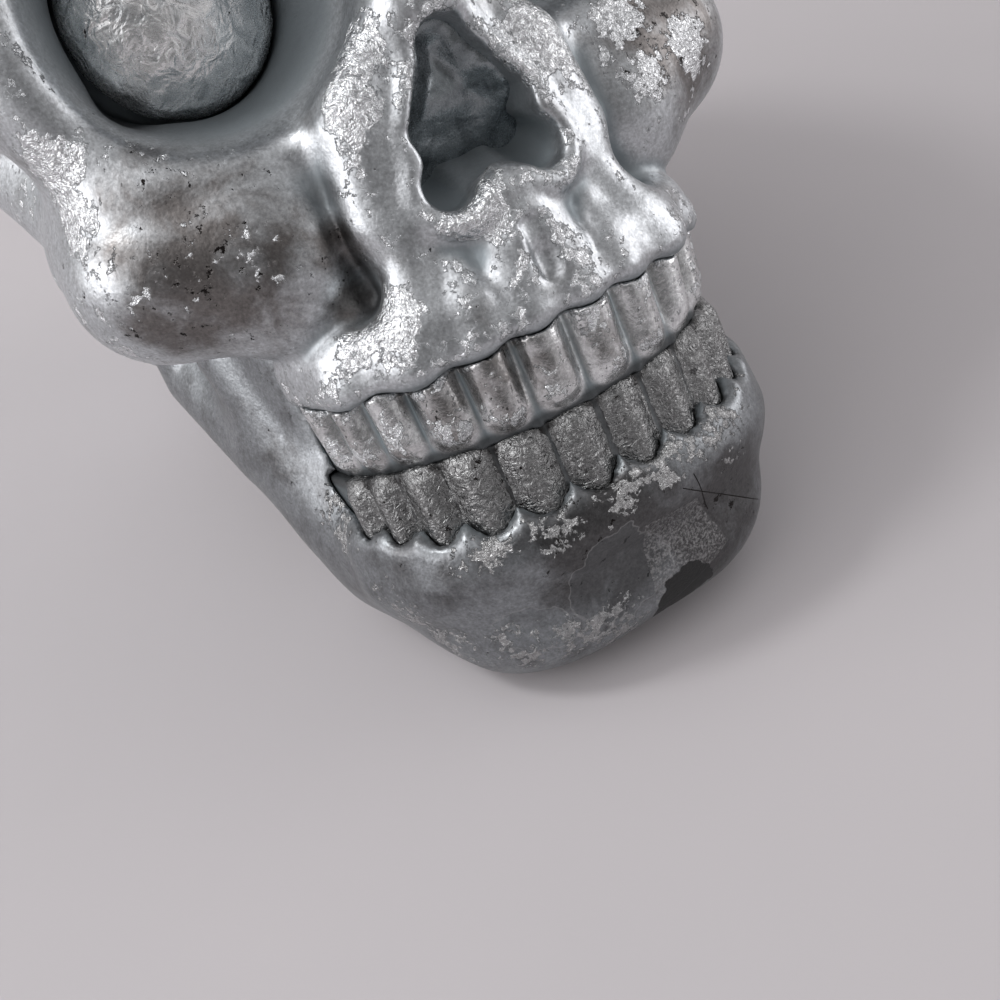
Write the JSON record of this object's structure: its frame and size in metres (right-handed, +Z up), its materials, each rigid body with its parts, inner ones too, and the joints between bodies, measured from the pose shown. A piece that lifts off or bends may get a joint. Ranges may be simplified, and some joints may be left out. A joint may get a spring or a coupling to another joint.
{
  "type": "skull decoration",
  "caption": "Leaning skull table decoration with clenched teeth, hollow moulded shells and a crinkled silver leaf finish, resting on small pads.",
  "frame": {"origin": "on the table under the middle of the decoration", "axes": "+Z up, the face looks along -Y, +X to the viewer's right"},
  "size_m": [0.1124, 0.192, 0.1491],
  "materials": {
    "silver_leaf": "crinkled silver leaf over grey paint on moulded plastic",
    "jaw_silver": "silver leaf and smooth grey paint, lightly tarnished",
    "tooth_silver": "silver leaf on the raised fronts, grey paint in the gaps",
    "rough_silver": "rough crinkled silver over dark plastic",
    "black_plastic": "matt moulded plastic",
    "pad_felt": "stick-on felt"
  },
  "bodies": {
    "root": {"face_shell": "silver_leaf", "cranium_shell": "silver_leaf", "lower_jaw": "jaw_silver", "upper_teeth": "tooth_silver", "lower_teeth": "tooth_silver", "eye_left": "rough_silver", "eye_right": "rough_silver", "nose_insert": "rough_silver", "base_plate": "black_plastic", "pad_front_left": "pad_felt", "pad_front_right": "pad_felt", "pad_rear_left": "pad_felt", "pad_rear_right": "pad_felt"}
  },
  "joints": []
}
